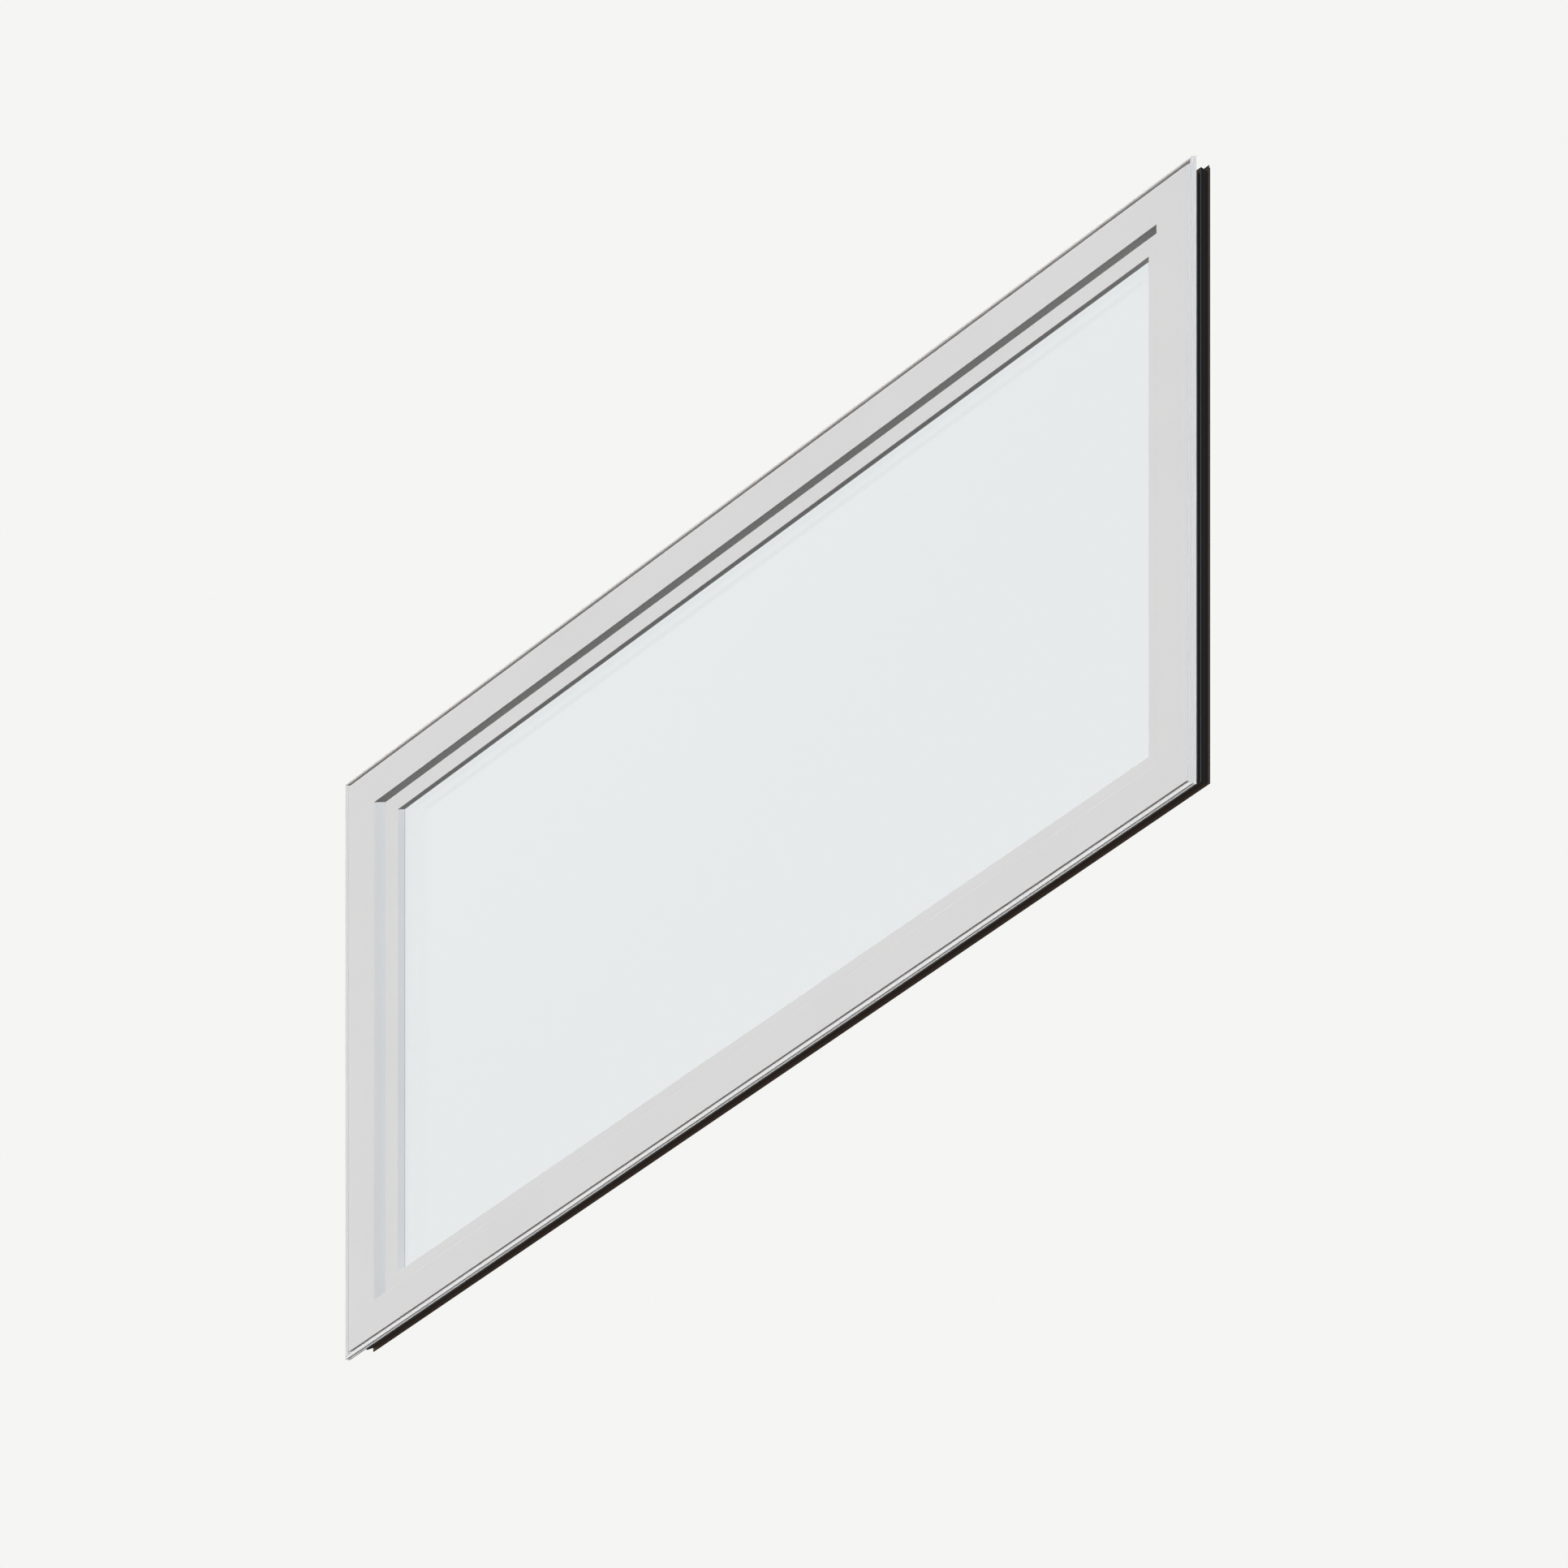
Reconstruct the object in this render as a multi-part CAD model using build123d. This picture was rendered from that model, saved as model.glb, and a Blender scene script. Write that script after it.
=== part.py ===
"""Parallelogram window, a fixed light with two upright jambs and a head and sill that climb to the right.

Millimetres, +Z up. +X runs along the width, +Y from the white room side to the black weather side.
The origin is on the outermost flat of the left jamb, the side of its white fin, at half the height of that jamb.
A profile point is (t, d): t is the inset from the window's outermost plane, d the depth behind the front.
"""

import math
import os

from build123d import *

# Overall size
WIDTH = 914.4
JAMB = 609.6
RISE = 609.6

# White frame, room side
LIP_SET_IN = 0.9
LIP_SET_BACK = 2.4
LIP_WIDE = 2.6
LIP_CHAMFER = 1.15
LIP_DEEP = 7.8
FIN_DEEP = 5.8
GROOVE_WIDE = 2.25
GROOVE_DEEP = 8.4
GROOVE_FLAT = 0.2
FACE_WIDE = 30.15
STEP_DEEP = 26.8
SEAT_DEEP = 7.2
NECK_SET_IN = 5.8
WALL = 2.0
EDGE_ROUND = 0.4

# Glazing bead
BEAD_WIDE = 14.4
BEAD_DEEP = 16.3
BEAD_WALL = 1.6
HOOK_LONG = 3.0
HOOK_THICK = 2.0
HOOK_FROM_FACE = 2.6
HOOK_PLAY = 0.1

# Sealed glass unit
PANE_THICK = 4.0
PANE_GAP = 16.0
GLASS_CLEARANCE = 3.0
SEAL_WIDE = 3.0
SPACER_WIDE = 6.0
SPACER_WALL = 0.8
INNER_GASKET_THICK = 2.0
INNER_GASKET_WIDE = 9.0
OUTER_GASKET_THICK = 2.5
OUTER_GASKET_WIDE = 6.0
GASKET_SET_BACK = 0.6

# Insulating strip
STRIP_DEEP = 12.8
TONGUE_LONG = 2.0
TONGUE_WIDE = 3.0
TONGUE_SET_IN = 3.0

# Black frame, weather side
BLACK_SET_IN = 2.9
FLANGE_SET_IN = 0.8
FLANGE_THICK = 10.0
RIB_THICK = 2.2
REBATE_TALL = 12.0
STOP_TALL = 10.4
STOP_THICK = 6.9
STOP_SLOPE_WIDE = 9.0
STOP_SLOPE_DEEP = 1.6
BLACK_ROUND = 1.0

# Drain slots in the black sill's weather face
DRAIN_LONG = 30.0
DRAIN_HIGH = 5.0
DRAIN_INSET = 12.0
DRAIN_FROM_END = 170.0

# Insets and depths that follow from the sizes above
LIP_END = LIP_SET_IN + LIP_WIDE
FACE_START = LIP_END + GROOVE_WIDE
FACE_END = FACE_START + FACE_WIDE
BEAD_SIGHT = FACE_END + BEAD_WIDE
REBATE_FLOOR = FACE_END - REBATE_TALL
GLASS_EDGE = REBATE_FLOOR + GLASS_CLEARANCE
STOP_SIGHT = REBATE_FLOOR + STOP_TALL
LIP_BACK = LIP_SET_BACK + LIP_DEEP
FIN_BACK = LIP_BACK + FIN_DEEP
FIN_ROOT = LIP_BACK + WALL
HOOK_FRONT = STEP_DEEP + HOOK_FROM_FACE
WHITE_BACK = STEP_DEEP + SEAT_DEEP
BLACK_FRONT = WHITE_BACK + STRIP_DEEP
BEAD_BACK = STEP_DEEP + BEAD_DEEP
GLASS_FRONT = BEAD_BACK + INNER_GASKET_THICK
GLASS_BACK = GLASS_FRONT + 2 * PANE_THICK + PANE_GAP
STOP_FRONT = GLASS_BACK + OUTER_GASKET_THICK
DEPTH = STOP_FRONT + STOP_THICK
FLANGE_FRONT = DEPTH - FLANGE_THICK
RIB_BACK = FLANGE_FRONT + RIB_THICK

# The origin is halfway along the fin, so the front face lies this far towards the room
FRONT = -(LIP_BACK + FIN_BACK) / 2

# Outer corners of the front plane, in walking order: up the left jamb, along the head, down the right jamb
CORNERS = [
    Vector(0, FRONT, -JAMB / 2),
    Vector(0, FRONT, JAMB / 2),
    Vector(WIDTH, FRONT, JAMB / 2 + RISE),
    Vector(WIDTH, FRONT, RISE - JAMB / 2),
]
SIDES = ["left_jamb", "head", "right_jamb", "sill"]
DEPTH_WAY = Vector(0, 1, 0)


def way(side):
    """Unit vector along a side, in walking order."""
    return (CORNERS[(side + 1) % 4] - CORNERS[side]).normalized()


def inward(side):
    """Unit vector from a side's outer plane into the window."""
    return DEPTH_WAY.cross(way(side))


def box(t0, t1, d0, d1):
    """Rectangle in the profile plane, from its two insets and its two depths."""
    return Pos((t0 + t1) / 2, (d0 + d1) / 2) * Rectangle(t1 - t0, d1 - d0)


def outline(points):
    """Closed face in the profile plane."""
    return make_face(Polyline(*points, close=True))


def eased(face, points, radius):
    """The face with its corners at the given profile points rounded."""
    picked = [v for v in face.vertices() if any(math.dist((v.X, v.Y), p) < radius / 4 for p in points)]
    return fillet(picked, radius)


def length_of(side, profile):
    """One mitred length: the profile run along a side and cut on the corners' bisecting planes."""
    start = CORNERS[side]
    end = CORNERS[(side + 1) % 4]
    plane = Plane(origin=start, x_dir=inward(side), z_dir=way(side))
    bar = extrude(plane * profile, (end - start).length)
    first_cut = Plane(origin=start, z_dir=way(side) + way(side - 1))
    last_cut = Plane(origin=end, z_dir=-(way(side) + way((side + 1) % 4)))
    bar = split(bar, bisect_by=first_cut, keep=Keep.TOP)
    return split(bar, bisect_by=last_cut, keep=Keep.TOP)


def inset_corner(side, t):
    """Corner between a side and the one before it, moved in by t from both."""
    before = inward(side - 1)
    here = inward(side)
    return CORNERS[side] + (before + here) * (t / (1 + before.dot(here)))


def sheet(t, d0, d1):
    """Parallelogram plate with its edges t inside the window's outer planes."""
    points = [inset_corner(side, t) + DEPTH_WAY * d0 for side in range(4)]
    face = make_face(Polyline(*points, close=True))
    return extrude(face, d1 - d0, dir=DEPTH_WAY)


def tongues(start, reach):
    """Two tongues of the insulating strip, from depth start, both reaching the same way."""
    first = NECK_SET_IN + TONGUE_SET_IN
    last = REBATE_FLOOR - TONGUE_SET_IN - TONGUE_WIDE
    low, high = sorted((start, start + reach))
    return [box(t, t + TONGUE_WIDE, low, high) for t in (first, last)]


def white_profile():
    """Room-side frame: lip, round-bottomed groove, flat face, deep first step, side fin, chambers and bead slot."""
    groove_corners = [(LIP_END, GROOVE_DEEP), (FACE_START, GROOVE_DEEP)]
    face = outline(
        [
            (LIP_SET_IN, LIP_SET_BACK),
            (LIP_END - LIP_CHAMFER, LIP_SET_BACK),
            (LIP_END, LIP_SET_BACK + LIP_CHAMFER),
            *groove_corners,
            (FACE_START, 0),
            (FACE_END, 0),
            (FACE_END, WHITE_BACK),
            (NECK_SET_IN, WHITE_BACK),
            (NECK_SET_IN, FIN_ROOT),
            (WALL, FIN_ROOT),
            (WALL, FIN_BACK),
            (0, FIN_BACK),
            (0, LIP_BACK),
            (LIP_SET_IN, LIP_BACK),
        ]
    )
    face = eased(face, groove_corners, (GROOVE_WIDE - GROOVE_FLAT) / 2)
    face = eased(face, [(FACE_START, 0), (FACE_END, 0)], EDGE_ROUND)
    middle = (FACE_START + FACE_END) / 2
    web = WALL / 2
    face -= box(FACE_START + WALL, middle - web, WALL, WHITE_BACK - TONGUE_LONG - WALL)
    face -= box(middle + web, FACE_END - WALL, WALL, HOOK_FRONT - HOOK_PLAY - WALL)
    slot_floor = FACE_END - HOOK_LONG - HOOK_PLAY
    face -= box(slot_floor, FACE_END, HOOK_FRONT - HOOK_PLAY, HOOK_FRONT + HOOK_THICK + HOOK_PLAY)
    for slot in tongues(WHITE_BACK, -TONGUE_LONG):
        face -= slot
    return face


def bead_profile():
    """Glazing bead: a hollow box beside the first step, with a hook into the white frame."""
    face = box(FACE_END, BEAD_SIGHT, STEP_DEEP, BEAD_BACK)
    face = eased(face, [(BEAD_SIGHT, STEP_DEEP), (BEAD_SIGHT, BEAD_BACK)], EDGE_ROUND)
    face -= box(FACE_END + BEAD_WALL, BEAD_SIGHT - BEAD_WALL, STEP_DEEP + BEAD_WALL, BEAD_BACK - BEAD_WALL)
    return face + box(FACE_END - HOOK_LONG, FACE_END, HOOK_FRONT, HOOK_FRONT + HOOK_THICK)


def strip_profile():
    """Insulating strip: a hollow box between the two frames, held by tongues in both."""
    face = box(NECK_SET_IN, REBATE_FLOOR, WHITE_BACK, BLACK_FRONT)
    face -= box(NECK_SET_IN + WALL, REBATE_FLOOR - WALL, WHITE_BACK + WALL, BLACK_FRONT - WALL)
    for tongue in tongues(WHITE_BACK, -TONGUE_LONG) + tongues(BLACK_FRONT, TONGUE_LONG):
        face += tongue
    return face


def black_profile():
    """Weather-side frame: shoulder, back flange with a rib, rebate floor and sloped stop, with one chamber."""
    points = [
        (BLACK_SET_IN, BLACK_FRONT),
        (REBATE_FLOOR, BLACK_FRONT),
        (REBATE_FLOOR, STOP_FRONT),
        (STOP_SIGHT, STOP_FRONT),
        (STOP_SIGHT, DEPTH - STOP_SLOPE_DEEP),
        (STOP_SIGHT - STOP_SLOPE_WIDE, DEPTH),
        (FLANGE_SET_IN, DEPTH),
        (FLANGE_SET_IN, RIB_BACK),
        (0, RIB_BACK),
        (0, FLANGE_FRONT),
        (BLACK_SET_IN, FLANGE_FRONT),
    ]
    shoulder, stop_nose, flange_back, rib_nose = points[0], points[3:5], points[6], points[9]
    face = eased(outline(points), [shoulder, *stop_nose, flange_back, rib_nose], BLACK_ROUND)
    face -= box(BLACK_SET_IN + WALL, REBATE_FLOOR - WALL, BLACK_FRONT + TONGUE_LONG + WALL, DEPTH - WALL)
    for slot in tongues(BLACK_FRONT, TONGUE_LONG):
        face -= slot
    return face


def inner_gasket_profile():
    """Strip between the bead and the inner pane."""
    nose = BEAD_SIGHT - GASKET_SET_BACK
    return box(nose - INNER_GASKET_WIDE, nose, BEAD_BACK, GLASS_FRONT)


def outer_gasket_profile():
    """Strip between the outer pane and the black frame's stop."""
    nose = STOP_SIGHT - GASKET_SET_BACK
    return box(nose - OUTER_GASKET_WIDE, nose, GLASS_BACK, STOP_FRONT)


def drained(sill):
    """The black sill with two slots through the wall of its weather face, near its two ends."""
    middle = CORNERS[3] + way(3) * ((CORNERS[0] - CORNERS[3]).length / 2)
    half = (CORNERS[0] - CORNERS[3]).length / 2 - DRAIN_FROM_END
    for along in (-half, half):
        at = middle + way(3) * along + inward(3) * (DRAIN_INSET + DRAIN_HIGH / 2) + DEPTH_WAY * DEPTH
        plane = Plane(origin=at, x_dir=way(3), z_dir=DEPTH_WAY)
        sill -= extrude(plane * SlotOverall(DRAIN_LONG, DRAIN_HIGH), WALL * 2, both=True)
    return sill


def ring(t_out, t_in, d0, d1):
    """Closed band between two insets."""
    return sheet(t_out, d0, d1) - sheet(t_in, d0, d1)


def glass_unit():
    """Panes, hollow spacer and edge seal of the sealed unit, by node name."""
    inner_back = GLASS_FRONT + PANE_THICK
    outer_front = GLASS_BACK - PANE_THICK
    seal_end = GLASS_EDGE + SEAL_WIDE
    spacer_end = seal_end + SPACER_WIDE
    spacer = ring(seal_end, spacer_end, inner_back, outer_front)
    spacer -= ring(
        seal_end + SPACER_WALL,
        spacer_end - SPACER_WALL,
        inner_back + SPACER_WALL,
        outer_front - SPACER_WALL,
    )
    return {
        "inner_pane": sheet(GLASS_EDGE, GLASS_FRONT, inner_back),
        "outer_pane": sheet(GLASS_EDGE, outer_front, GLASS_BACK),
        "pane_spacer": spacer,
        "pane_edge_seal": ring(GLASS_EDGE, seal_end, inner_back, outer_front),
    }


def build():
    """Every node of the window, by name."""
    kinds = {
        "white_frame": white_profile(),
        "glazing_bead": bead_profile(),
        "insulating_strip": strip_profile(),
        "black_frame": black_profile(),
        "inner_gasket": inner_gasket_profile(),
        "outer_gasket": outer_gasket_profile(),
    }
    nodes = {}
    for side, side_name in enumerate(SIDES):
        for kind, profile in kinds.items():
            nodes[f"{side_name}_{kind}"] = length_of(side, profile)
    nodes["sill_black_frame"] = drained(nodes["sill_black_frame"])
    nodes.update(glass_unit())
    return nodes


def main():
    """Write one STEP file for each node."""
    os.makedirs("parts", exist_ok=True)
    for name, shape in build().items():
        shape.label = name
        export_step(shape, f"parts/{name}.step")


main()
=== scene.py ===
"""Dresses the parallelogram window: painted lengths, glazing bead, gaskets, glass unit and a plain studio.

Everything is in metres in the frame of the solids: +X along the width, +Y from the room side to the weather
side, +Z up. A profile point is (t, d): t is the inset from the window's outermost plane, d the depth behind
the front.
"""

import logging
import math
from dataclasses import dataclass
from enum import Enum

import bpy
import numpy as np
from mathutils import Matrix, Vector

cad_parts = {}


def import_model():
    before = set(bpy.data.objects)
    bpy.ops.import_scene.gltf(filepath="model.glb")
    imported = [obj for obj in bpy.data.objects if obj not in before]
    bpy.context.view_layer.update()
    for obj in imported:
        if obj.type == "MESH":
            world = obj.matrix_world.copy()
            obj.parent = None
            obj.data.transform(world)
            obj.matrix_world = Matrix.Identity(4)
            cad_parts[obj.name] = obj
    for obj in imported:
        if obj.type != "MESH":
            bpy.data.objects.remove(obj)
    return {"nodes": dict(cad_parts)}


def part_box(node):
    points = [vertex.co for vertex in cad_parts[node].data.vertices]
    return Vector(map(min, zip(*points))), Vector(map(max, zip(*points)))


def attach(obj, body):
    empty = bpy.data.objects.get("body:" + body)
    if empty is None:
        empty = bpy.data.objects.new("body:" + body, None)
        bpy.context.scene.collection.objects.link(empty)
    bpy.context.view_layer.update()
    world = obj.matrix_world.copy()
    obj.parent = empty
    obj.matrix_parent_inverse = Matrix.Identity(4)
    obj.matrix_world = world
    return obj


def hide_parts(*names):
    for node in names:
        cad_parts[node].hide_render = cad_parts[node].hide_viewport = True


LOG = logging.getLogger("window")
BODY = "root"
MM = 0.001
DEPTHWAYS = (0.0, 1.0, 0.0)
SHARP_FROM = math.radians(35)
NOISE_LOW, NOISE_HIGH = 0.3, 0.7

Tint = tuple[float, float, float]
Place = tuple[float, float, float]
Solids = dict[str, bpy.types.Object]


class Side(Enum):
    """The four sides, in walking order seen from the room."""

    LEFT_JAMB = 0
    HEAD = 1
    RIGHT_JAMB = 2
    SILL = 3

    def node(self, kind: str) -> str:
        """Name of the node of a kind on this side."""
        return f"{self.name.lower()}_{kind}"

    def turned(self, steps: int) -> "Side":
        """The side a number of corners further on."""
        return Side((self.value + steps) % len(Side))


# Geometry shared by the lengths


@dataclass(frozen=True)
class Outline:
    """The window's outer parallelogram in its front plane.

    Attributes:
        corners: the four outer corners in walking order, one row each.
    """

    corners: np.ndarray

    @classmethod
    def from_frame(cls) -> "Outline":
        """Read the outer corners from the solids of the two jambs.

        Returns:
            The outline in the front plane of the white frame.
        """
        left_low, left_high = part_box(Side.LEFT_JAMB.node("white_frame"))
        right_low, right_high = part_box(Side.RIGHT_JAMB.node("white_frame"))
        front = left_low.y
        return cls(
            np.array(
                [
                    (left_low.x, front, left_low.z),
                    (left_low.x, front, left_high.z),
                    (right_high.x, front, right_high.z),
                    (right_high.x, front, right_low.z),
                ]
            )
        )

    def run(self, side: Side) -> np.ndarray:
        """A side's outer edge, from its first corner to its last."""
        return self.corners[side.turned(1).value] - self.corners[side.value]

    def length(self, side: Side) -> float:
        """Outer length of a side."""
        return float(np.linalg.norm(self.run(side)))

    def way(self, side: Side) -> np.ndarray:
        """Unit vector along a side, in walking order."""
        return self.run(side) / self.length(side)

    def inward(self, side: Side) -> np.ndarray:
        """Unit vector from a side's outer plane into the window."""
        return np.cross(DEPTHWAYS, self.way(side))

    def mitre(self, side: Side, steps: int) -> float:
        """How far a mitre moves along a side for each unit of inset.

        The cut lies on the bisector of the corner, so a point at inset t is t / tan(half the corner's angle)
        along the side from the outer corner.

        Args:
            side: the side that is cut.
            steps: 1 for the cut at the side's end, -1 for the cut at its start.

        Returns:
            One over the tangent of half the angle between this side and its neighbour.
        """
        cosine = -float(np.dot(self.way(side), self.way(side.turned(steps))))
        return 1.0 / math.tan(math.acos(cosine) / 2)


@dataclass(frozen=True)
class Section:
    """A closed profile with some of its corners rounded.

    Attributes:
        corners: one (t, d, r) each, anticlockwise with t to the right and d upwards. r is the corner's
            rounding, 0 for a sharp one.
        steps: facets in each rounding.
    """

    corners: tuple[tuple[float, float, float], ...]
    steps: int = 4

    def rounded(self) -> np.ndarray:
        """Profile points with each rounding drawn as an arc.

        At a corner with unit vectors a and b towards its neighbours and angle w between them, the arc of
        radius r starts r / tan(w / 2) along a and ends as far along b. Its centre is r / sin(w / 2) along
        their sum. The arc's points turn evenly from the first radius vector to the second.

        Returns:
            An array of points (t, d), one row each, with the sharp corners kept as single points.
        """
        table = np.array(self.corners)
        here, radius = table[:, :2], table[:, 2]
        back = np.roll(here, 1, axis=0) - here
        ahead = np.roll(here, -1, axis=0) - here
        back /= np.linalg.norm(back, axis=1, keepdims=True)
        ahead /= np.linalg.norm(ahead, axis=1, keepdims=True)
        half = np.arccos(np.clip((back * ahead).sum(1), -1, 1)) / 2
        middle = back + ahead
        middle /= np.linalg.norm(middle, axis=1, keepdims=True)
        centre = here + middle * (radius / np.sin(half))[:, None]
        first = here + back * (radius / np.tan(half))[:, None] - centre
        last = here + ahead * (radius / np.tan(half))[:, None] - centre
        sweep = (math.pi - 2 * half)[:, None]
        share = np.linspace(0, 1, self.steps + 1)[None, :]
        from_first = (np.sin((1 - share) * sweep) / np.sin(sweep))[..., None] * first[:, None]
        from_last = (np.sin(share * sweep) / np.sin(sweep))[..., None] * last[:, None]
        arcs = centre[:, None] + from_first + from_last
        keep = np.ones(arcs.shape[:2], bool)
        keep[radius == 0, 1:] = False
        return arcs[keep]


@dataclass(frozen=True)
class MitredLength:
    """One straight length: a section carried along a side and cut on the bisectors of its two corners.

    Attributes:
        name: the piece's name.
        side: the side that it runs along.
        outline: the window's outer parallelogram.
        section: its profile.
    """

    name: str
    side: Side
    outline: Outline
    section: Section

    def mesh(self) -> bpy.types.Mesh:
        """Closed mesh of the length.

        A section point (t, d) becomes corner + t inward + d along +Y + s along the side. At the start s is
        t m0, and at the end it is length - t m1, where m0 and m1 are the mitres' slopes. Each section edge
        gives one quad, and the section itself closes each end.

        Returns:
            The new mesh, with its place in its vertices.
        """
        profile = self.section.rounded()
        inset, depth = profile[:, 0], profile[:, 1]
        base = self.outline.corners[self.side.value]
        flat = base + np.outer(inset, self.outline.inward(self.side)) + np.outer(depth, DEPTHWAYS)
        start = inset * self.outline.mitre(self.side, -1)
        end = self.outline.length(self.side) - inset * self.outline.mitre(self.side, 1)
        along = self.outline.way(self.side)
        rings = np.concatenate([flat + np.outer(start, along), flat + np.outer(end, along)])
        count = len(profile)
        first = np.arange(count)
        ahead = (first + 1) % count
        quads = np.column_stack([first, ahead, ahead + count, first + count])
        faces = quads.tolist() + [first[::-1].tolist(), (first + count).tolist()]
        mesh = bpy.data.meshes.new(self.name)
        mesh.from_pydata(rings, [], faces)
        mesh.polygons.foreach_set("use_smooth", np.ones(len(faces), bool))
        mesh.set_sharp_from_angle(angle=SHARP_FROM)
        mesh.validate()
        return mesh

    def build(self) -> bpy.types.Object:
        """Make the length's object, whose broad faces keep their flat shading beside the rounded arrises.

        Returns:
            The new object, at the origin.
        """
        piece = bpy.data.objects.new(self.name, self.mesh())
        bpy.context.scene.collection.objects.link(piece)
        shading = piece.modifiers.new("flat_faces", "WEIGHTED_NORMAL")
        shading.keep_sharp = True
        return piece


# Finishes


@dataclass
class Nodes:
    """A small helper that adds nodes to one tree and links them.

    Attributes:
        tree: the node tree of a material or of the surround.
    """

    tree: bpy.types.NodeTree

    def add(self, kind: str, **inputs: object) -> bpy.types.Node:
        """Add a node and set its sockets by name.

        Args:
            kind: the node's type without its ShaderNode prefix.
            **inputs: socket values, or sockets to link from, with underscores for the names' spaces.

        Returns:
            The new node.
        """
        node = self.tree.nodes.new("ShaderNode" + kind)
        for name, value in inputs.items():
            socket = node.inputs[name.replace("_", " ")]
            if isinstance(value, bpy.types.NodeSocket):
                self.tree.links.new(value, socket)
            else:
                socket.default_value = value
        return node

    def noise(self, scale: float, detail: float = 2.0) -> bpy.types.NodeSocket:
        """Noise in the object's own coordinates, with a number of cells to the metre."""
        place = self.add("TexCoord").outputs["Object"]
        return self.add("TexNoise", Vector=place, Scale=scale, Detail=detail).outputs["Fac"]

    def ranged(self, noise: bpy.types.NodeSocket, low: float, high: float) -> bpy.types.NodeSocket:
        """Map a noise onto other ends, from the range that it seldom leaves.

        Args:
            noise: the noise's socket.
            low: what its usual lowest becomes.
            high: what its usual highest becomes.

        Returns:
            The mapped noise's socket.
        """
        node = self.add(
            "MapRange", Value=noise, From_Min=NOISE_LOW, From_Max=NOISE_HIGH, To_Min=low, To_Max=high
        )
        return node.outputs["Result"]

    def product(self, first: bpy.types.NodeSocket, second: bpy.types.NodeSocket) -> bpy.types.NodeSocket:
        """Multiply two patterns.

        Args:
            first: one pattern's socket.
            second: the other's.

        Returns:
            The socket of their product.
        """
        node = self.tree.nodes.new("ShaderNodeMath")
        node.operation = "MULTIPLY"
        self.tree.links.new(first, node.inputs[0])
        self.tree.links.new(second, node.inputs[1])
        return node.outputs["Value"]

    def smooth(self, value: bpy.types.NodeSocket, start: float, end: float) -> bpy.types.NodeSocket:
        """Step smoothly from 0 to 1.

        Args:
            value: the socket of the number that is stepped.
            start: where the step is 0.
            end: where it is 1, above start or below it.

        Returns:
            The step's socket.
        """
        node = self.add("MapRange", Value=value, From_Min=start, From_Max=end, To_Min=0.0, To_Max=1.0)
        node.interpolation_type = "SMOOTHSTEP"
        return node.outputs["Result"]

    def facing(
        self, way: bpy.types.NodeSocket, towards: Vector, edge: float, full: float
    ) -> bpy.types.NodeSocket:
        """Soft-edged round patch of directions.

        The cosine between the two directions steps smoothly from the cosine of edge to that of full.

        Args:
            way: the direction that is looked along, a unit vector.
            towards: the middle of the patch, a unit vector.
            edge: degrees from the middle where the patch ends.
            full: degrees from the middle where it reaches its full strength.

        Returns:
            0 outside the patch, 1 inside it.
        """
        node = self.tree.nodes.new("ShaderNodeVectorMath")
        node.operation = "DOT_PRODUCT"
        self.tree.links.new(way, node.inputs[0])
        node.inputs[1].default_value = towards
        return self.smooth(node.outputs["Value"], math.cos(math.radians(edge)), math.cos(math.radians(full)))

    def blend(
        self,
        factor: bpy.types.NodeSocket,
        first: Tint | bpy.types.NodeSocket,
        second: Tint | bpy.types.NodeSocket,
    ) -> bpy.types.NodeSocket:
        """Mix two colours by a pattern.

        Args:
            factor: 0 for the first colour, 1 for the second.
            first: a linear colour, or a socket that gives one.
            second: likewise.

        Returns:
            The mixed colour's socket.
        """
        node = self.tree.nodes.new("ShaderNodeMix")
        node.data_type = "RGBA"
        self.tree.links.new(factor, node.inputs["Factor"])
        ends = [socket for socket in node.inputs if socket.type == "RGBA"]
        for socket, colour in zip(ends, (first, second)):
            if isinstance(colour, bpy.types.NodeSocket):
                self.tree.links.new(colour, socket)
            else:
                socket.default_value = (*colour, 1.0)
        return next(socket for socket in node.outputs if socket.type == "RGBA")


def new_material(name: str) -> tuple[bpy.types.Material, Nodes, bpy.types.Node]:
    """A node material with its principled shader.

    Args:
        name: the material's name.

    Returns:
        The material, the helper on its tree and the shader node.
    """
    material = bpy.data.materials.new(name)
    material.use_nodes = True
    shader = next(node for node in material.node_tree.nodes if node.type == "BSDF_PRINCIPLED")
    return material, Nodes(material.node_tree), shader


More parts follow.
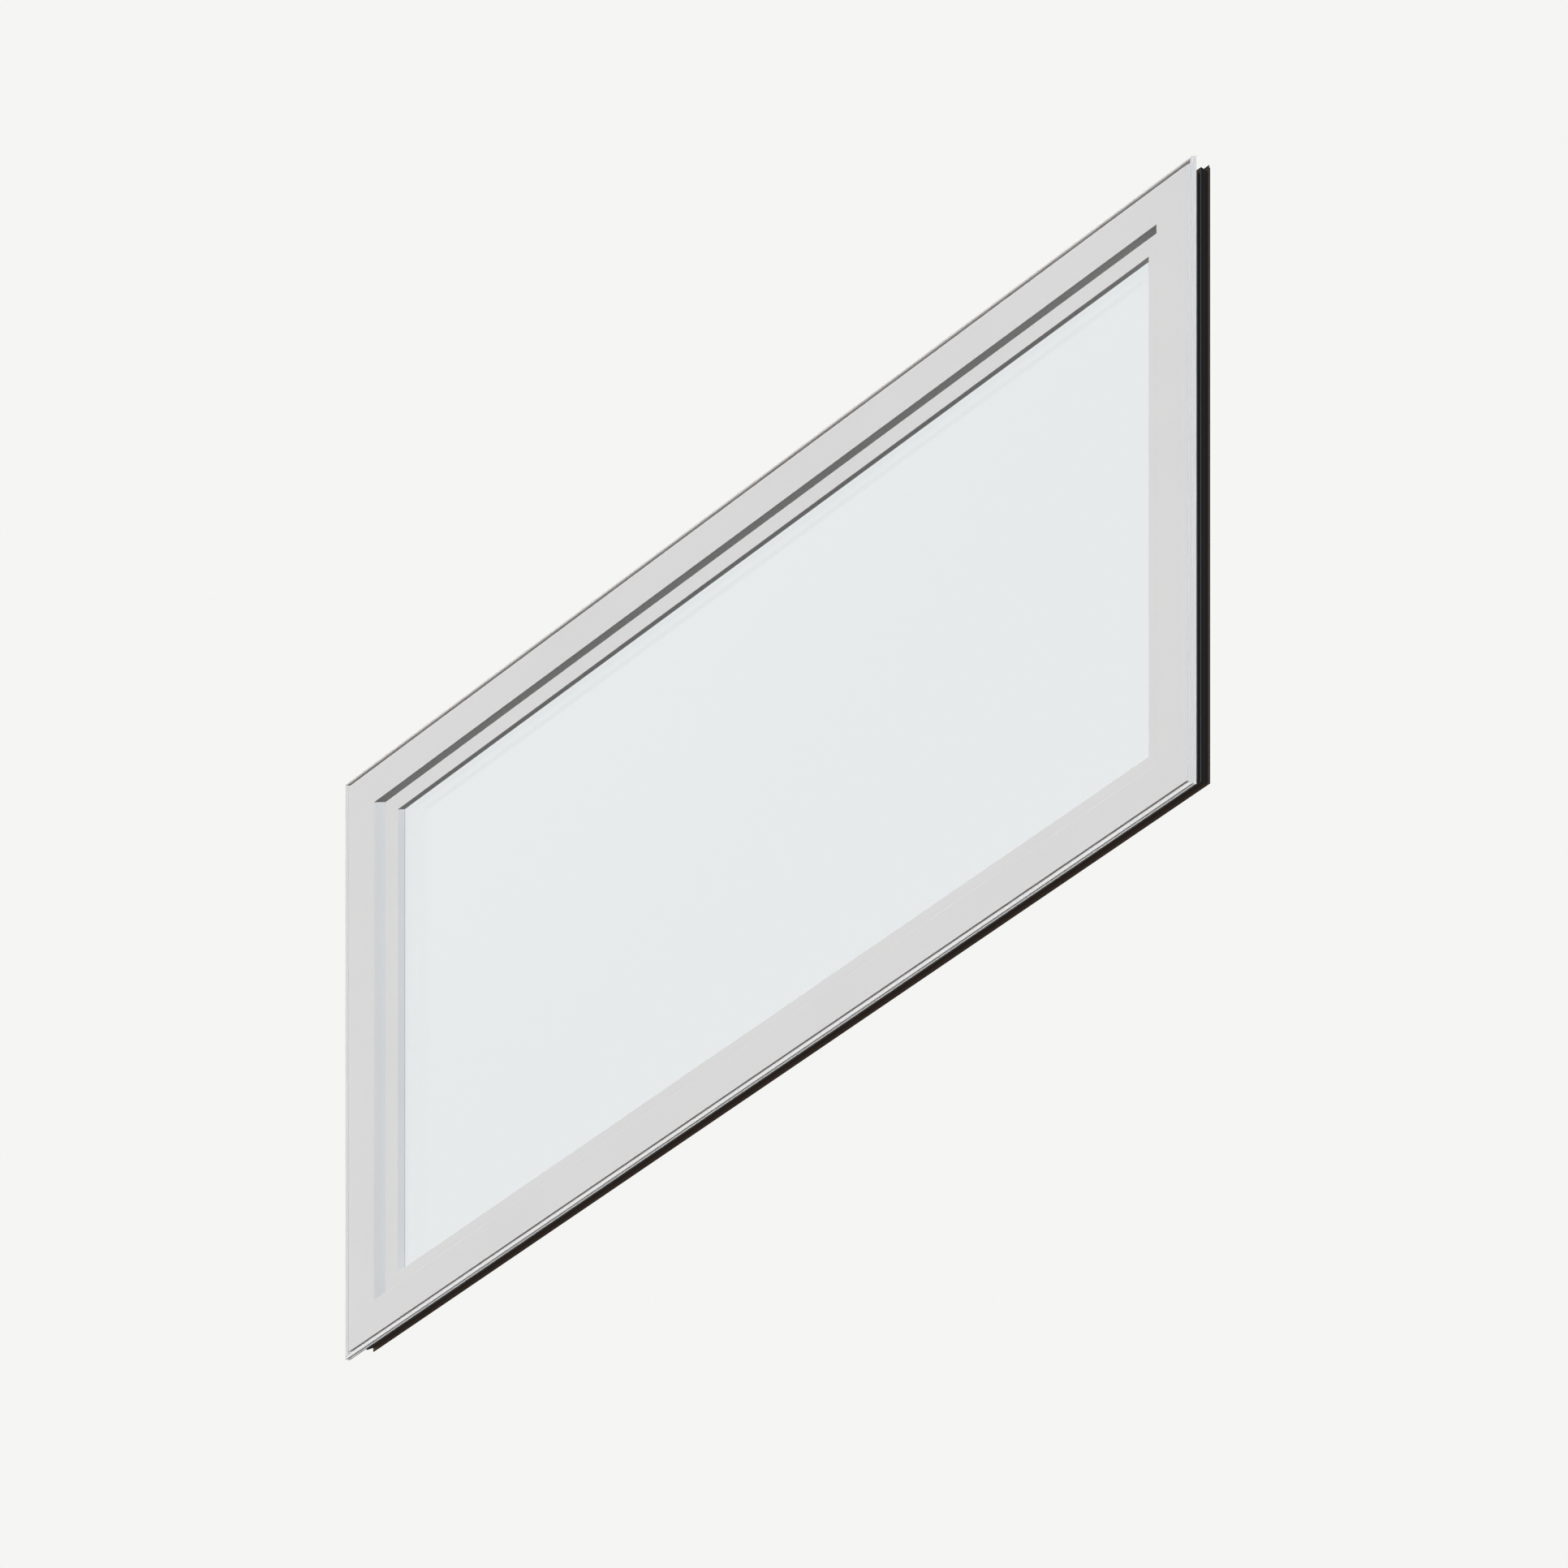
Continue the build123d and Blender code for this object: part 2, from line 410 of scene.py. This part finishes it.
@dataclass(frozen=True)
class Coating:
    """Sprayed paint, moulded rubber or polyamide: a colour that drifts slightly, over a fine skin.

    Attributes:
        name: the material's name.
        light: the colour's brighter end, linear.
        dark: its darker end, linear.
        rough: lowest and highest roughness.
        skin_scale: cells of the skin to the metre.
        skin_height: height of the skin.
        specular: the shader's specular level.
        sheen: tint of the reflection seen straight on.
        drift_scale: cells of the colour's drift to the metre.
        rough_scale: cells of the roughness to the metre.
        skin_strength: share of the skin's bump that shows.
    """

    name: str
    light: Tint
    dark: Tint
    rough: tuple[float, float]
    skin_scale: float
    skin_height: float
    specular: float = 0.5
    sheen: Tint = (1.0, 1.0, 1.0)
    drift_scale: float = 7.0
    rough_scale: float = 60.0
    skin_strength: float = 0.5

    def material(self) -> bpy.types.Material:
        """Colour and roughness from broad noise, bump from the fine skin.

        Returns:
            The material.
        """
        material, nodes, shader = new_material(self.name)
        links = material.node_tree.links
        drift = nodes.ranged(nodes.noise(self.drift_scale), 0.0, 1.0)
        links.new(nodes.blend(drift, self.dark, self.light), shader.inputs["Base Color"])
        rough = nodes.ranged(nodes.noise(self.rough_scale, detail=4.0), *self.rough)
        links.new(rough, shader.inputs["Roughness"])
        skin = nodes.noise(self.skin_scale, detail=1.0)
        bump = nodes.add("Bump", Height=skin, Distance=self.skin_height, Strength=self.skin_strength)
        links.new(bump.outputs["Normal"], shader.inputs["Normal"])
        shader.inputs["Specular IOR Level"].default_value = self.specular
        shader.inputs["Specular Tint"].default_value = (*self.sheen, 1.0)
        return material


@dataclass(frozen=True)
class DrawnMetal:
    """Bare metal with the fine grain that drawing leaves.

    Attributes:
        name: the material's name.
        colour: its linear colour.
        rough: lowest and highest roughness.
        rough_scale: cells of the roughness to the metre.
        grain_scale: cells of the grain to the metre.
        grain_height: height of the grain.
        grain_strength: share of the grain's bump that shows.
    """

    name: str = "drawn_spacer_metal"
    colour: Tint = (0.62, 0.63, 0.64)
    rough: tuple[float, float] = (0.28, 0.42)
    rough_scale: float = 900.0
    grain_scale: float = 1400.0
    grain_height: float = 0.02 * MM
    grain_strength: float = 0.4

    def material(self) -> bpy.types.Material:
        """Metal whose roughness and bump come from fine noise.

        Returns:
            The material.
        """
        material, nodes, shader = new_material(self.name)
        links = material.node_tree.links
        shader.inputs["Base Color"].default_value = (*self.colour, 1.0)
        shader.inputs["Metallic"].default_value = 1.0
        rough = nodes.ranged(nodes.noise(self.rough_scale, detail=3.0), *self.rough)
        links.new(rough, shader.inputs["Roughness"])
        grain = nodes.noise(self.grain_scale, detail=1.0)
        bump = nodes.add("Bump", Height=grain, Distance=self.grain_height, Strength=self.grain_strength)
        links.new(bump.outputs["Normal"], shader.inputs["Normal"])
        return material


@dataclass(frozen=True)
class FloatGlass:
    """Clear float glass, very slightly tinted, with faint long waves and a trace of haze.

    Attributes:
        name: the material's name.
        tint: linear colour of the light that comes through.
        refraction: how strongly it bends light.
        haze: lowest and highest roughness.
        haze_scale: cells of the haze to the metre.
        wave_scale: waves to the metre.
        wave_height: height of the waves.
        wave_strength: share of the waves' bump that shows.
    """

    name: str = "float_glass"
    tint: Tint = (0.936, 0.961, 0.980)
    refraction: float = 1.5
    haze: tuple[float, float] = (0.0, 0.012)
    haze_scale: float = 12.0
    wave_scale: float = 3.0
    wave_height: float = 0.004 * MM
    wave_strength: float = 0.3

    def material(self) -> bpy.types.Material:
        """Transmitting glass with its haze as roughness and its waves as bump.

        Returns:
            The material.
        """
        material, nodes, shader = new_material(self.name)
        links = material.node_tree.links
        shader.inputs["Base Color"].default_value = (*self.tint, 1.0)
        shader.inputs["Transmission Weight"].default_value = 1.0
        shader.inputs["IOR"].default_value = self.refraction
        haze = nodes.ranged(nodes.noise(self.haze_scale, detail=3.0), *self.haze)
        links.new(haze, shader.inputs["Roughness"])
        waves = nodes.noise(self.wave_scale, detail=1.0)
        bump = nodes.add("Bump", Height=waves, Distance=self.wave_height, Strength=self.wave_strength)
        links.new(bump.outputs["Normal"], shader.inputs["Normal"])
        return material


class Finish(Enum):
    """Every finish on the window."""

    WHITE_PAINT = Coating(
        "white_paint",
        light=(0.81, 0.81, 0.81),
        dark=(0.79, 0.79, 0.79),
        rough=(0.50, 0.60),
        skin_scale=1100.0,
        skin_height=0.02 * MM,
        specular=0.07,
    )
    BLACK_PAINT = Coating(
        "black_paint",
        light=(0.0075, 0.0075, 0.0080),
        dark=(0.0065, 0.0065, 0.0070),
        rough=(0.18, 0.24),
        skin_scale=1100.0,
        skin_height=0.02 * MM,
        sheen=(1.0, 0.86, 0.76),
    )
    POLYAMIDE = Coating(
        "dark_polyamide",
        light=(0.022, 0.022, 0.023),
        dark=(0.014, 0.014, 0.015),
        rough=(0.6, 0.75),
        skin_scale=2200.0,
        skin_height=0.04 * MM,
    )
    GREY_RUBBER = Coating(
        "grey_rubber",
        light=(0.50, 0.50, 0.49),
        dark=(0.44, 0.44, 0.43),
        rough=(0.6, 0.75),
        skin_scale=1800.0,
        skin_height=0.03 * MM,
    )
    BLACK_RUBBER = Coating(
        "black_rubber",
        light=(0.012, 0.012, 0.012),
        dark=(0.008, 0.008, 0.008),
        rough=(0.6, 0.78),
        skin_scale=1800.0,
        skin_height=0.03 * MM,
    )
    SEALANT = Coating(
        "edge_sealant",
        light=(0.020, 0.020, 0.021),
        dark=(0.012, 0.012, 0.013),
        rough=(0.5, 0.65),
        skin_scale=700.0,
        skin_height=0.08 * MM,
    )
    SPACER_METAL = DrawnMetal()
    GLASS = FloatGlass()


Materials = dict[Finish, bpy.types.Material]


# Sub-assemblies


def dress(piece: bpy.types.Object, material: bpy.types.Material) -> None:
    """Give a piece one finish all over.

    Args:
        piece: the object to dress.
        material: its finish.
    """
    piece.data.materials.clear()
    piece.data.materials.append(material)


@dataclass(frozen=True)
class FrameLengths:
    """Four mitred lengths of one section, each standing for the solid of its side.

    They are left out of scattered and mirrored light, because otherwise the panes brighten the steps.

    Attributes:
        kind: the solids' name without their side.
        slot: name of a material slot; not used.
        section: the profile of every length.
    """

    kind: str
    slot: str
    section: Section

    def build(self, outline: Outline, material: bpy.types.Material) -> None:
        """Make, dress and place the four lengths.

        Args:
            outline: the window's outer parallelogram.
            material: the finish of every length.
        """
        for side in Side:
            node = side.node(self.kind)
            piece = MitredLength(f"{node}_length", side, outline, self.section).build()
            piece.visible_diffuse = False
            piece.visible_glossy = False
            dress(piece, material)
            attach(piece, BODY)
            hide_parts(node)
            LOG.info("%s: %d faces", piece.name, len(piece.data.polygons))


@dataclass(frozen=True)
class WhiteFrame:
    """The room-side frame: chamfered lip, round-bottomed groove, flat face, deep first step and side fin.

    Attributes:
        lip_set_in: inset of the lip's outer side.
        lip_set_back: depth of the lip's front behind the flat face.
        lip_wide: the lip's width.
        lip_chamfer: the chamfer on the lip's groove side.
        lip_deep: from the lip's front to the fin's.
        fin_deep: the fin's outer side, from front to back.
        fin_thick: thickness of the fin's wall.
        groove_wide: width of the groove between lip and face.
        groove_deep: its depth behind the flat face.
        groove_round: rounding of its floor.
        face_wide: width of the flat face.
        neck_set_in: inset of the body behind the fin.
        body_deep: depth of the body's back.
        arris: rounding of the flat face's two edges.
        lip_arris: rounding of the edges of lip and fin.
    """

    lip_set_in: float = 0.9 * MM
    lip_set_back: float = 2.4 * MM
    lip_wide: float = 2.6 * MM
    lip_chamfer: float = 1.15 * MM
    lip_deep: float = 7.8 * MM
    fin_deep: float = 5.8 * MM
    fin_thick: float = 2.0 * MM
    groove_wide: float = 2.25 * MM
    groove_deep: float = 8.4 * MM
    groove_round: float = 1.025 * MM
    face_wide: float = 30.15 * MM
    neck_set_in: float = 5.8 * MM
    body_deep: float = 34.0 * MM
    arris: float = 0.4 * MM
    lip_arris: float = 0.3 * MM

    @property
    def face_start(self) -> float:
        """Inset of the flat face's outer edge."""
        return self.lip_set_in + self.lip_wide + self.groove_wide

    @property
    def face_end(self) -> float:
        """Inset of the first step."""
        return self.face_start + self.face_wide

    def section(self) -> Section:
        """Outer profile of the frame, without its hidden chambers.

        Returns:
            The profile, from the lip's front round the groove, the face and the body to the fin.
        """
        lip_end = self.lip_set_in + self.lip_wide
        lip_back = self.lip_set_back + self.lip_deep
        fin_back = lip_back + self.fin_deep
        fin_root = lip_back + self.fin_thick
        return Section(
            (
                (self.lip_set_in, self.lip_set_back, self.lip_arris),
                (lip_end - self.lip_chamfer, self.lip_set_back, self.lip_arris),
                (lip_end, self.lip_set_back + self.lip_chamfer, self.lip_arris),
                (lip_end, self.groove_deep, self.groove_round),
                (self.face_start, self.groove_deep, self.groove_round),
                (self.face_start, 0.0, self.arris),
                (self.face_end, 0.0, self.arris),
                (self.face_end, self.body_deep, 0.0),
                (self.neck_set_in, self.body_deep, 0.0),
                (self.neck_set_in, fin_root, 0.0),
                (self.fin_thick, fin_root, 0.0),
                (self.fin_thick, fin_back, self.lip_arris),
                (0.0, fin_back, self.lip_arris),
                (0.0, lip_back, self.lip_arris),
                (self.lip_set_in, lip_back, 0.0),
            )
        )

    def build(self, outline: Outline, material: bpy.types.Material) -> None:
        """Make the four white lengths."""
        FrameLengths("white_frame", "white_paint", self.section()).build(outline, material)


@dataclass(frozen=True)
class GlazingBead:
    """The white bead between the first step and the glass.

    Attributes:
        frame: the white frame that it stands against.
        wide: width of its front.
        set_back: depth of its front behind the flat face.
        deep: from its front to its back.
        arris: rounding of its two edges at the glass.
    """

    frame: WhiteFrame = WhiteFrame()
    wide: float = 14.4 * MM
    set_back: float = 26.8 * MM
    deep: float = 16.3 * MM
    arris: float = 0.45 * MM

    def section(self) -> Section:
        """Profile of the bead, without its hidden chamber and hook.

        Returns:
            The profile, from the edge at the first step round the nose.
        """
        near = self.frame.face_end
        sight = near + self.wide
        back = self.set_back + self.deep
        return Section(
            (
                (near, self.set_back, 0.0),
                (sight, self.set_back, self.arris),
                (sight, back, self.arris),
                (near, back, 0.0),
            )
        )

    def build(self, outline: Outline, material: bpy.types.Material) -> None:
        """Make the four bead lengths."""
        FrameLengths("glazing_bead", "white_paint", self.section()).build(outline, material)


@dataclass(frozen=True)
class DressedSolids:
    """Solids whose own shape is right, which only take a finish.

    Attributes:
        kinds: the finish of each kind of length.
        singles: the finish of each single node.
    """

    kinds: dict[str, Finish]
    singles: dict[str, Finish]

    def build(self, solids: Solids, materials: Materials) -> None:
        """Dress every solid that is listed.

        Args:
            solids: the solids by name.
            materials: the window's finishes.
        """
        lengths = {side.node(kind): finish for side in Side for kind, finish in self.kinds.items()}
        for name, finish in {**lengths, **self.singles}.items():
            dress(solids[name], materials[finish])
            LOG.info("%s: %s", name, materials[finish].name)


# Studio


def heading(azimuth: float, height: float) -> Vector:
    """Unit vector from the window in a direction.

    Args:
        azimuth: degrees from straight in front of the room side towards the right.
        height: degrees above the horizon.

    Returns:
        The direction.
    """
    turn, rise = math.radians(azimuth), math.radians(height)
    return Vector((math.sin(turn) * math.cos(rise), -math.cos(turn) * math.cos(rise), math.sin(rise)))


@dataclass(frozen=True)
class Lamp:
    """A broad, distant, shadowless light that shows in no reflection.

    Attributes:
        name: the lamp's name.
        azimuth: where it stands, in degrees from straight in front of the room side towards the right.
        height: degrees above the horizon.
        power: linear colour times strength.
        kinds: kinds of length that it lights; none of them named means that it lights everything.
        spread: its width in degrees, seen from the window.
    """

    name: str
    azimuth: float
    height: float
    power: Tint
    kinds: tuple[str, ...] = ()
    spread: float = 25.0

    def build(self, solids: Solids) -> None:
        """Add the lamp to the scene.

        Args:
            solids: the solids by name.
        """
        strength = max(self.power)
        data = bpy.data.lights.new(self.name, "SUN")
        data.energy = strength
        data.color = [channel / strength for channel in self.power]
        data.angle = math.radians(self.spread)
        data.use_shadow = False
        lamp = bpy.data.objects.new(self.name, data)
        lamp.rotation_euler = heading(self.azimuth, self.height).to_track_quat("Z", "Y").to_euler()
        lamp.visible_glossy = False
        lamp.visible_transmission = False
        bpy.context.scene.collection.objects.link(lamp)
        if self.kinds:
            lit = bpy.data.collections.new(f"{self.name}_lights")
            for side in Side:
                for kind in self.kinds:
                    lit.objects.link(solids[side.node(kind)])
            lamp.light_linking.receiver_collection = lit


@dataclass(frozen=True)
class Panel:
    """A soft-edged round patch of the surround, seen only in reflections.

    Attributes:
        azimuth: its middle, in degrees from straight in front of the room side towards the right.
        height: its middle, in degrees above the horizon.
        edge: degrees from its middle where it ends.
        full: degrees from its middle where it reaches its full colour.
        colour: its linear colour.
    """

    azimuth: float
    height: float
    edge: float
    full: float
    colour: Tint


LAMPS = (
    Lamp("key", -30.0, 0.0, (1.76, 1.75, 1.72)),
    Lamp("side", 60.0, 45.0, (2.66, 2.94, 3.19)),
    Lamp("low", 45.0, -15.0, (0.35, 0.20, 0.11)),
    Lamp("low_rim", 135.0, -15.0, (0.38, 0.55, 0.63)),
    Lamp("high_rim", 135.0, 34.0, (0.66, 0.49, 0.37)),
    Lamp("left", -100.0, 20.0, (1.6, 1.6, 1.6)),
    Lamp("back", 180.0, 10.0, (1.8, 1.8, 1.8)),
    Lamp("back_rake", 225.0, 40.0, (9.0, 9.0, 9.0), kinds=("black_frame", "outer_gasket")),
)

PANELS = (
    Panel(172.0, -8.0, 46.0, 32.0, (0.03, 0.03, 0.03)),
    Panel(-8.0, 0.0, 45.0, 25.0, (1.20, 0.86, 0.64)),
    Panel(100.0, 0.0, 26.0, 10.0, (2.2, 3.3, 4.4)),
)


@dataclass(frozen=True)
class Backdrop:
    """The seamless pale dish round the window, which glows evenly.

    Attributes:
        colour: its linear colour.
        centre: middle of its floor, below the window.
        reach: its widest radius.
        floor_share: how high the dish is cut off for the flat floor, as a share of the reach.
        turns: facets round it.
        rows: rings of points from the floor's middle to the top.
        room_edge: half the depth over which its weather side fades out of mirrored light.
        left_end: X where mirrored light sees it brightest.
        right_start: X where mirrored light sees it dimmest.
        left_level: its strength in mirrored light at the left.
        right_level: its strength in mirrored light at the right.
    """

    colour: Tint = (0.913, 0.913, 0.896)
    centre: Place = (0.457, 0.0, -0.855)
    reach: float = 14.0
    floor_share: float = 0.04
    turns: int = 64
    rows: int = 48
    room_edge: float = 0.5
    left_end: float = -7.0
    right_start: float = -2.5
    left_level: float = 1.35
    right_level: float = 0.85

    def mesh(self) -> bpy.types.Mesh:
        """The dish: a flat floor that curves up into a wall and closes overhead.

        With u from 0 to pi, the radius is reach sin(u) and the height reach (1 - cos(u)) / 2, all turned
        about the upright axis. The height is lowered by floor_share of the reach, and what is then below the
        floor is pressed flat onto it.

        Returns:
            The new mesh, with its place in its vertices.
        """
        round_by = np.linspace(0, 2 * math.pi, self.turns, endpoint=False)
        rise = np.linspace(0, math.pi, self.rows)
        radius = self.reach * np.sin(rise)
        height = np.maximum(self.reach * ((1 - np.cos(rise)) / 2 - self.floor_share), 0.0)
        x = np.outer(radius, np.cos(round_by))
        y = np.outer(radius, np.sin(round_by))
        z = np.outer(height, np.ones(self.turns))
        points = np.stack([x, y, z], axis=-1).reshape(-1, 3) + self.centre
        here = np.arange(self.turns)
        ahead = (here + 1) % self.turns
        row = np.arange(self.rows - 1)[:, None] * self.turns
        above = row + self.turns
        quads = np.stack([row + here, row + ahead, above + ahead, above + here], axis=-1)
        mesh = bpy.data.meshes.new("seamless_backdrop")
        mesh.from_pydata(points, [], quads.reshape(-1, 4).tolist())
        mesh.validate()
        return mesh

    def paper(self) -> bpy.types.Material:
        """The evenly glowing paper of the dish.

        Light that a surface has scattered doesn't see it. Light that was mirrored inside or between the
        panes, and comes out through one, sees its room side only, a little brighter towards the left.

        Returns:
            The material.
        """
        material = bpy.data.materials.new("backdrop_paper")
        material.use_nodes = True
        tree = material.node_tree
        tree.nodes.clear()
        nodes = Nodes(tree)
        path = nodes.add("LightPath").outputs
        place = nodes.add("SeparateXYZ", Vector=nodes.add("NewGeometry").outputs["Position"]).outputs
        room_side = nodes.smooth(place["Y"], self.room_edge, -self.room_edge)
        level = nodes.add(
            "MapRange",
            Value=place["X"],
            From_Min=self.left_end,
            From_Max=self.right_start,
            To_Min=self.left_level,
            To_Max=self.right_level,
        )
        mirrored = nodes.product(room_side, level.outputs["Result"])
        scattered = nodes.smooth(path["Diffuse Depth"], 1.0, 0.0)
        seen = nodes.add("MapRange", Value=path["Glossy Depth"], From_Max=1.0, To_Min=1.0, To_Max=mirrored)
        strength = nodes.product(scattered, seen.outputs["Result"])
        glow = nodes.add("Emission", Color=(*self.colour, 1.0), Strength=strength)
        out = tree.nodes.new("ShaderNodeOutputMaterial")
        tree.links.new(glow.outputs["Emission"], out.inputs["Surface"])
        return material

    def build(self) -> None:
        """Add the backdrop to the scene."""
        backdrop = bpy.data.objects.new("seamless_backdrop", self.mesh())
        bpy.context.scene.collection.objects.link(backdrop)
        dress(backdrop, self.paper())
        backdrop.visible_diffuse = False
        backdrop.visible_glossy = False
        backdrop.visible_shadow = False


@dataclass(frozen=True)
class Surround:
    """What the window reflects: grey all round, with the panels on it.

    Attributes:
        around: linear colour between the panels.
        panels: its panels, the later ones over the earlier.
    """

    around: Tint = (0.35, 0.35, 0.35)
    panels: tuple[Panel, ...] = PANELS

    def build(self) -> None:
        """Make the surround the scene's world."""
        world = bpy.data.worlds.new("quiet_surround")
        world.use_nodes = True
        bpy.context.scene.world = world
        world.cycles_visibility.diffuse = False
        tree = world.node_tree
        tree.nodes.clear()
        nodes = Nodes(tree)
        way = nodes.add("TexCoord").outputs["Generated"]
        colour = self.around
        for panel in self.panels:
            patch = nodes.facing(way, heading(panel.azimuth, panel.height), panel.edge, panel.full)
            colour = nodes.blend(patch, colour, panel.colour)
        sky = nodes.add("Background", Color=colour, Strength=1.0)
        out = tree.nodes.new("ShaderNodeOutputWorld")
        tree.links.new(sky.outputs["Background"], out.inputs["Surface"])


@dataclass(frozen=True)
class Studio:
    """Plain pale backdrop, shadowless lamps all round, and a quiet surround for the reflections.

    Attributes:
        backdrop: the paper behind and below the window.
        lamps: every lamp.
        surround: what the paint and the glass reflect.
    """

    backdrop: Backdrop = Backdrop()
    lamps: tuple[Lamp, ...] = LAMPS
    surround: Surround = Surround()

    def build(self, solids: Solids) -> None:
        """Add the backdrop, the lamps and the surround.

        Args:
            solids: the solids by name.
        """
        self.backdrop.build()
        for lamp in self.lamps:
            lamp.build(solids)
        self.surround.build()


@dataclass(frozen=True)
class Viewpoint:
    """The photograph's camera: level, to the right of the window's middle, through a long lens.

    Attributes:
        place: where it stands.
        turn: degrees that it is turned to the left of the window's axis.
        field_of_view: degrees across the picture.
        sensor: width of its sensor, in millimetres.
        far: how far it sees, past the backdrop.
    """

    place: Place = (1.7120, -3.3588, 0.3048)
    turn: float = 20.0
    field_of_view: float = 25.0
    sensor: float = 36.0
    far: float = 100.0

    def build(self) -> None:
        """Make the scene's camera."""
        data = bpy.data.cameras.new("photo_camera")
        data.sensor_width = self.sensor
        data.lens = self.sensor / 2 / math.tan(math.radians(self.field_of_view / 2))
        data.clip_end = self.far
        camera = bpy.data.objects.new("photo_camera", data)
        camera.location = self.place
        camera.rotation_euler = (math.radians(90), 0.0, math.radians(self.turn))
        bpy.context.scene.collection.objects.link(camera)
        bpy.context.scene.camera = camera


def main() -> None:
    """Load the solids, build the window's pieces, the studio and the camera."""
    logging.basicConfig(level=logging.INFO, format="%(message)s")
    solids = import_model()["nodes"]
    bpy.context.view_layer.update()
    outline = Outline.from_frame()
    materials = {finish: finish.value.material() for finish in Finish}
    WhiteFrame().build(outline, materials[Finish.WHITE_PAINT])
    GlazingBead().build(outline, materials[Finish.WHITE_PAINT])
    DressedSolids(
        kinds={
            "black_frame": Finish.BLACK_PAINT,
            "insulating_strip": Finish.POLYAMIDE,
            "inner_gasket": Finish.GREY_RUBBER,
            "outer_gasket": Finish.BLACK_RUBBER,
        },
        singles={
            "inner_pane": Finish.GLASS,
            "outer_pane": Finish.GLASS,
            "pane_spacer": Finish.SPACER_METAL,
            "pane_edge_seal": Finish.SEALANT,
        },
    ).build(solids, materials)
    Studio().build(solids)
    Viewpoint().build()
    bpy.context.scene.view_settings.view_transform = "Standard"


if __name__ == "__main__":
    main()
